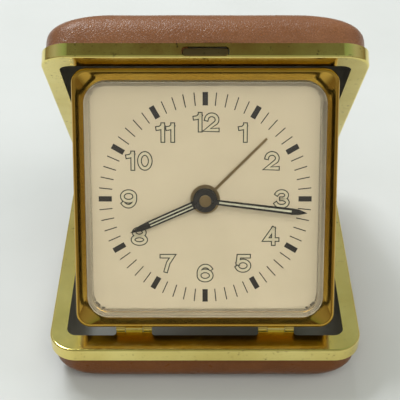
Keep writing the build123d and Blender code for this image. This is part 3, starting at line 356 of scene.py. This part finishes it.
class Solids:
    """Collects prisms on the dial in one mesh, in millimetres."""

    def __init__(self):
        self.verts, self.faces = [], []

    def prism(self, outline, low, high):
        """An outline in the plane of the dial, raised from low to high."""
        count, first = len(outline), len(self.verts)
        self.verts += [(x, y, low) for x, y in outline] + [(x, y, high) for x, y in outline]
        self.faces.append(tuple(first + k for k in reversed(range(count))))
        self.faces.append(tuple(first + count + k for k in range(count)))
        for k in range(count):
            here, following = first + k, first + (k + 1) % count
            self.faces.append((here, following, following + count, here + count))

    def ribbon(self, points, half, low, high, closed):
        """A band along a line, half to each side and past its open ends, with mitred corners."""
        line = [Vector(point) for point in points]
        if not closed:
            line[0] = line[0] + (line[0] - line[1]).normalized() * half
            line[-1] = line[-1] + (line[-1] - line[-2]).normalized() * half
        count = len(line)
        left, right = [], []
        for k, point in enumerate(line):
            before = line[k - 1] if k or closed else None
            after = line[(k + 1) % count] if k < count - 1 or closed else None
            into = ((point - before) if before is not None else (after - point)).normalized()
            onward = (after - point).normalized() if after is not None else into
            across = Vector((-(into.y + onward.y), into.x + onward.x)).normalized()
            reach = half / max(SHARPEST_MITRE, across.dot(Vector((-into.y, into.x))))
            left.append(point + across * reach)
            right.append(point - across * reach)
        for k in range(count if closed else count - 1):
            following = (k + 1) % count
            self.prism([left[k], right[k], right[following], left[following]], low, high)


def turned(points, angle):
    """Points turned clockwise about the middle of the dial by an angle in degrees."""
    cosine, sine = cos(radians(-angle)), sin(radians(-angle))
    return [(x * cosine - y * sine, x * sine + y * cosine) for x, y in points]


# ---- leather covers -----------------------------------------------------------------------------
COVER_HALF = 39.4                                  # half the width that the insets start from
BAND_CORNER = 6.5                                  # the plan radius under the band
SIDE_CORNER, CORNER_GROWTH = 7.56, 1.62            # the plan radius of the side, and per inset
SIDE_INSET = 0.15
TURN_START = 6.93                                  # the depth where the side turns over
TURN_ACROSS = 5.7                                  # how far in the turn reaches
TURN_STEPS = 14
LOWEST = HALF_HEIGHT - 0.05                        # the depth where the turn ends
MIDDLE_GAP = 1.2                                   # half the width of the last, flat face
MIDDLE_STEPS = 10
FULLEST_CORNER = 0.985                             # the largest plan radius, as a share of the half
LID_CROWN = 0.25                                   # how much the lid's middle stands out
LEATHER = 0.4                                      # the skin's thickness
LATCH_GAP_HALF = 6.5                               # the hole in the lid's cover behind the latch
LATCH_GAP_DEPTH = 4.0
BROAD_SWELL, FINE_SWELL = 0.09, 0.03               # the heights of two sizes of unevenness
SWELL_FROM = 4.5                                   # the depth from which the leather is uneven
SWELL_TURNS_OVER = 6.0                             # the depth over which swelling turns downwards
SWELL_DOWN = 0.8                                   # the share of it that is left there


def rounded_loop(half, corner, per_corner=14, per_side=16):
    """Points of a rounded square about the origin, evenly shared along sides and corners."""
    points = []
    for quarter in range(4):
        cosine, sine = cos(quarter * pi / 2), sin(quarter * pi / 2)
        side = [(half, -(half - corner) + 2 * (half - corner) * k / per_side)
                for k in range(per_side)]
        bend = [(half - corner + corner * cos(angle), half - corner + corner * sin(angle))
                for angle in (pi / 2 * k / per_corner for k in range(per_corner))]
        points += [(x * cosine - y * sine, x * sine + y * cosine) for x, y in side + bend]
    return points


def side_corner(inset):
    """The plan radius grows quickly towards the middle: the covers have soft, full corners."""
    return SIDE_CORNER + CORNER_GROWTH * inset


def cover_profile(crown):
    """(inset, depth, corner) from under the band, up the side and over to the middle."""
    rings = [(0.2, 1.35, BAND_CORNER), (0.2, 2.6, BAND_CORNER), (0.25, 3.6, BAND_CORNER),
             (0.3, 3.9, BAND_CORNER + 0.2), (0.2, 4.4, BAND_CORNER + 0.7),
             (SIDE_INSET, 5.2, BAND_CORNER + 1.1), (SIDE_INSET, 6.0, side_corner(SIDE_INSET))]
    for k in range(TURN_STEPS + 1):
        angle = pi / 2 * k / TURN_STEPS
        inset = SIDE_INSET + TURN_ACROSS * (1 - cos(angle))
        depth = TURN_START + (LOWEST - TURN_START) * sin(angle)
        rings.append((inset, depth, side_corner(inset)))
    turned_in = rings[-1][0]
    for k in range(1, MIDDLE_STEPS + 1):
        inset = turned_in + (COVER_HALF - MIDDLE_GAP - turned_in) * k / MIDDLE_STEPS
        depth = LOWEST + crown * sin(k / MIDDLE_STEPS * pi / 2)
        rings.append((inset, depth, side_corner(inset)))
    return rings


def swelling(x, y, depth):
    """How far glued leather stands off the shell under it: broad waves with finer ones on them."""
    if depth <= SWELL_FROM:
        return 0.0
    broad = noise.noise(Vector((x * 0.11, y * 0.11, depth * 0.2 + 3.0)))
    fine = noise.noise(Vector((x * 0.5, y * 0.5, depth * 0.6)))
    return BROAD_SWELL * broad + FINE_SWELL * fine


def cover(name, matrix, crown, material, body, node, latch_gap=False):
    """A leather skin drawn over one case half."""
    verts, faces, previous = [], [], None
    for inset, depth, corner in cover_profile(crown):
        half = COVER_HALF - inset
        loop = rounded_loop(half, min(half * FULLEST_CORNER, corner))
        first = len(verts)
        for x, y in loop:
            swell = swelling(x, y, depth)
            outward = max(0.0, 1 - max(0.0, depth - TURN_START) / SWELL_TURNS_OVER)
            widen = 1 + swell * outward / max(1.0, sqrt(x * x + y * y))
            verts.append((x * widen, y * widen + CASE_SIZE / 2,
                          depth + swell * (1 - outward) * SWELL_DOWN))
        if previous is not None:
            for k, (x, y) in enumerate(loop):
                if latch_gap and depth < LATCH_GAP_DEPTH and abs(x) < LATCH_GAP_HALF and y < 0:
                    continue
                following = (k + 1) % len(loop)
                faces.append((previous + k, previous + following, first + following, first + k))
        previous = first
    faces.append(tuple(range(previous, previous + len(loop))))
    made = piece(name, verts, faces, matrix, material, body, smooth=True)
    thick = made.modifiers.new("thickness", "SOLIDIFY")
    thick.thickness = LEATHER * MM
    thick.offset = -1
    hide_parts(node)


cover("lid_leather_cover", LID, LID_CROWN, LID_LEATHER, "lid", "lid_cover",
      latch_gap=True)
cover("base_leather_cover", BASE, 0.0, SHADED_BASE_LEATHER, "base", "base_cover")


# ---- dial print ---------------------------------------------------------------------------------
def highest(node):
    """How far a node reaches along the dial's axis, in millimetres from the face plane."""
    return max((v.co - DIAL_CENTRE).dot(FACING) for v in nodes[node].data.vertices) / MM


DIAL_Z = highest("dial")
PRINT_SINK = 0.02                                  # how far ink reaches into the dial
OUTLINE_RISE, FILL_RISE, TRACK_RISE = 0.012, 0.03, 0.015
NUMERAL_RADIUS = 19.2
NUMERAL_NARROWING = 0.97
STROKE_HALF, FILL_HALF = 0.60, 0.33                # the dark stroke and the pale one inside it
TRACK_INNER, TRACK_OUTER = 23.4, 26.7
HOUR_BAR_HALF, MINUTE_BAR_HALF = 0.675, 0.13


def arc(cx, cy, rx, ry, start, end, steps=22):
    """Points of an elliptical arc from one angle to another, in degrees counterclockwise."""
    angles = [radians(start + (end - start) * k / steps) for k in range(steps + 1)]
    return [(cx + rx * cos(angle), cy + ry * sin(angle)) for angle in angles]


# Each digit is a list of (middle line of a stroke, closed), in millimetres about its own middle.
SIX = [(arc(0, -0.62, 1.62, 1.22, 90, 450)[:-1], True),
       (arc(0.08, -0.05, 1.7, 1.92, 40, 195), False)]
DIGITS = {
    "0": [(arc(0, 0, 1.38, 1.87, 90, 450, 32)[:-1], True)],
    "1": [([(-0.95, 1.1), (-0.3, 1.2), (0.3, 1.75)], False), ([(0.35, 2.0), (0.35, -1.9)], False)],
    "2": [(arc(0, 0.68, 1.35, 1.2, 172, -38) + [(-1.3, -1.86), (1.4, -1.86)], False)],
    "3": [(arc(-0.05, 0.93, 1.3, 0.93, 158, -90), False),
          (arc(-0.05, -0.93, 1.5, 0.95, 90, -160), False)],
    "4": [([(0.55, 1.95), (-1.4, -0.85), (1.6, -0.85)], False),
          ([(0.62, 1.9), (0.62, -1.9)], False)],
    "5": [([(1.45, 1.86), (-1.1, 1.86), (-1.3, 0.0)], False),
          (arc(0, -0.62, 1.58, 1.24, 145, -160), False)],
    "6": SIX,
    "7": [([(-1.4, 1.86), (1.42, 1.86), (0.25, 0.1), (-0.35, -1.9)], False)],
    "8": [(arc(0, 0.98, 1.32, 0.9, 90, 450)[:-1], True),
          (arc(0, -0.9, 1.64, 0.98, 90, 450)[:-1], True)],
    "9": [([(-x, -y) for x, y in line], closed) for line, closed in SIX],
}
PLACES = {"10": (-1.75, 1.6), "11": (-1.25, 1.2), "12": (-1.6, 1.6)}   # of the digits of a pair


def numerals():
    """Outlined numerals: a pale luminous stroke that lies on a wider dark one."""
    outline, glow = Solids(), Solids()
    for hour in range(1, 13):
        angle = radians(hour * 30)
        cx, cy = NUMERAL_RADIUS * sin(angle), NUMERAL_RADIUS * cos(angle)
        text = str(hour)
        for glyph, shift in zip(text, PLACES.get(text, (0.0,))):
            for line, closed in DIGITS[glyph]:
                placed = [(x * NUMERAL_NARROWING + shift + cx, y + cy) for x, y in line]
                outline.ribbon(placed, STROKE_HALF, DIAL_Z - PRINT_SINK, DIAL_Z + OUTLINE_RISE,
                               closed)
                glow.ribbon(placed, FILL_HALF, DIAL_Z, DIAL_Z + FILL_RISE, closed)
    piece("numeral_outlines", outline.verts, outline.faces, CLOCK, OUTLINE, "clock")
    piece("numeral_fills", glow.verts, glow.faces, CLOCK, GLOW, "clock")


def minute_track():
    """A bar for each minute, wide at the hours."""
    ink = Solids()
    for minute in range(60):
        half = HOUR_BAR_HALF if minute % 5 == 0 else MINUTE_BAR_HALF
        bar = [(-half, TRACK_INNER), (half, TRACK_INNER), (half, TRACK_OUTER), (-half, TRACK_OUTER)]
        ink.prism(turned(bar, minute * 6), DIAL_Z - PRINT_SINK, DIAL_Z + TRACK_RISE)
    piece("minute_track", ink.verts, ink.faces, CLOCK, INK, "clock")


numerals()
minute_track()


# ---- luminous paint in the hands ----------------------------------------------------------------
LUME_SINK, LUME_RISE = 0.06, 0.012                 # how far the paint reaches from a hand's face
LUME_START = 3.5                                   # where every strip starts, from the arbor
LUME_CLEAR = 0.1                                   # left bare at each side, as a share of a strip


def glowing(name, body, top, angle, length, root, tip, end, strips, rail):
    """Strips of luminous paint on a hand that points at an angle, clockwise from twelve.

    The hand is length long, root wide at the arbor and tip wide at its end. The strips run to end,
    side by side, and each rail beside them takes the share rail of the hand's width.
    """
    made = Solids()
    share = (1 - rail * (strips + 1)) / strips
    near = root + (tip - root) * LUME_START / length
    far = root + (tip - root) * end / length
    for k in range(strips):
        left = -0.5 + rail + k * (share + rail) + LUME_CLEAR * share
        right = left + (1 - 2 * LUME_CLEAR) * share
        strip = [(left * near, LUME_START), (right * near, LUME_START),
                 (right * far, end), (left * far, end)]
        made.prism(turned(strip, angle), top - LUME_SINK, top + LUME_RISE)
    piece(name, made.verts, made.faces, CLOCK, HAND_GLOW, body)


glowing("hour_lume", "hour", highest("hour_hand"), angle=246.0, length=20.6, root=2.1, tip=1.8,
        end=15.2, strips=2, rail=0.2)
glowing("minute_lume", "minute", highest("minute_hand"), angle=97.0, length=25.6, root=1.3, tip=1.6,
        end=21.6, strips=1, rail=0.3)


# ---- room ---------------------------------------------------------------------------------------
FLOOR_HALF = 3.0                                   # metres, as are the lights' places and sizes
LIGHTS_AIM = Vector((0, 0, 0.03))                  # about the middle of the clock
BACKDROP = (0.56, 0.57, 0.56)                      # the plain pale wall that the camera sees
# What the room sends, by the sine of the height above the horizon: warm and dim low down, brightest
# half way up, greenish above that and dark overhead. The gilt and the glass reflect it.
ROOM_TONES = [(0.0, (0.22, 0.17, 0.10)), (0.28, (0.32, 0.30, 0.25)), (0.62, (0.42, 0.43, 0.42)),
              (0.93, (0.27, 0.37, 0.24)), (0.985, (0.08, 0.03, 0.016))]


def floor():
    """The plain pale surface that the clock stands on."""
    look = Look("pale_floor", specular_ior_level=0.2)
    soft = look.noise(60, 4)
    look.feed("Base Color", look.mix(look.ramp(soft, (0.3, 0.0), (0.75, 1.0)),
                                     (0.60, 0.61, 0.615), (0.56, 0.57, 0.57)))
    look.feed("Roughness", look.ramp(soft, (0.3, 0.7), (0.8, 0.85)))
    mesh = bpy.data.meshes.new("floor")
    corners = [(-FLOOR_HALF, -FLOOR_HALF, 0), (FLOOR_HALF, -FLOOR_HALF, 0),
               (FLOOR_HALF, FLOOR_HALF, 0), (-FLOOR_HALF, FLOOR_HALF, 0)]
    mesh.from_pydata(corners, [], [(0, 1, 2, 3)])
    mesh.materials.append(look.material)
    obj = bpy.data.objects.new("floor", mesh)
    bpy.context.scene.collection.objects.link(obj)


def area_light(name, at, size, power, colour, glossy=False):
    """A soft rectangular light aimed at the clock. Only a glossy one shows in reflections."""
    light = bpy.data.lights.new(name, "AREA")
    light.shape = "RECTANGLE"
    light.size, light.size_y = size
    light.energy = power
    light.color = colour
    obj = bpy.data.objects.new(name, light)
    obj.location = at
    aim = LIGHTS_AIM - Vector(at)
    obj.rotation_euler = aim.to_track_quat("-Z", "Y").to_euler()
    obj.visible_glossy = glossy
    bpy.context.scene.collection.objects.link(obj)


def world():
    """Light from all sides, by height, and a plain backdrop past the floor for the camera."""
    made = bpy.data.worlds.new("studio")
    made.use_nodes = True
    tree = made.node_tree
    coords = tree.nodes.new("ShaderNodeTexCoord").outputs["Generated"]
    split = tree.nodes.new("ShaderNodeSeparateXYZ")
    tree.links.new(coords, split.inputs[0])
    ramp = tree.nodes.new("ShaderNodeValToRGB")
    tree.links.new(split.outputs["Z"], ramp.inputs["Fac"])
    set_stops(ramp.color_ramp, ROOM_TONES)
    seen = tree.nodes.new("ShaderNodeLightPath").outputs["Is Camera Ray"]
    backdrop = tree.nodes.new("ShaderNodeMix")
    backdrop.data_type = "RGBA"
    backdrop.inputs[MIX_B].default_value = (*BACKDROP, 1)
    tree.links.new(seen, backdrop.inputs["Factor"])
    tree.links.new(ramp.outputs["Color"], backdrop.inputs[MIX_A])
    background = tree.nodes["Background"]
    tree.links.new(backdrop.outputs[MIX_RESULT], background.inputs["Color"])
    background.inputs["Strength"].default_value = 1.0
    bpy.context.scene.world = made


floor()
world()
area_light("window", (-0.42, 0.40, 0.98), (0.4, 0.22), 6.0, (0.95, 0.98, 1.0), glossy=True)
area_light("back_fill", (-0.15, 0.75, 0.95), (0.6, 0.4), 6.0, (0.97, 0.99, 1.0))
area_light("room_fill", (0.15, -0.75, 1.0), (0.9, 0.7), 6.0, (1.0, 0.97, 0.92))
area_light("side_fill", (0.9, -0.1, 0.5), (0.5, 0.5), 2.0, (1.0, 0.96, 0.9))


# ---- camera -------------------------------------------------------------------------------------
LENS = 86.535                                      # on a sensor 36 mm wide
CAMERA_LEFT = 1.3                                  # millimetres left of the case's middle
CAMERA_BEFORE = 166.3                              # before the front edge of the case
CAMERA_ABOVE = 181.2                               # above the base's rim
LOOKING_DOWN = 38.55                               # degrees under the horizon

camera = bpy.data.cameras.new("camera")
camera.sensor_width = 36.0
camera.lens = LENS
camera.clip_start = 0.01
eye = bpy.data.objects.new("camera", camera)
eye.location = (-CAMERA_LEFT * MM, FRONT_EDGE - CAMERA_BEFORE * MM,
                (CAMERA_ABOVE + HALF_HEIGHT) * MM)
eye.rotation_euler = (radians(90 - LOOKING_DOWN), 0, 0)
bpy.context.scene.collection.objects.link(eye)
bpy.context.scene.camera = eye
bpy.context.scene.view_settings.view_transform = "Standard"
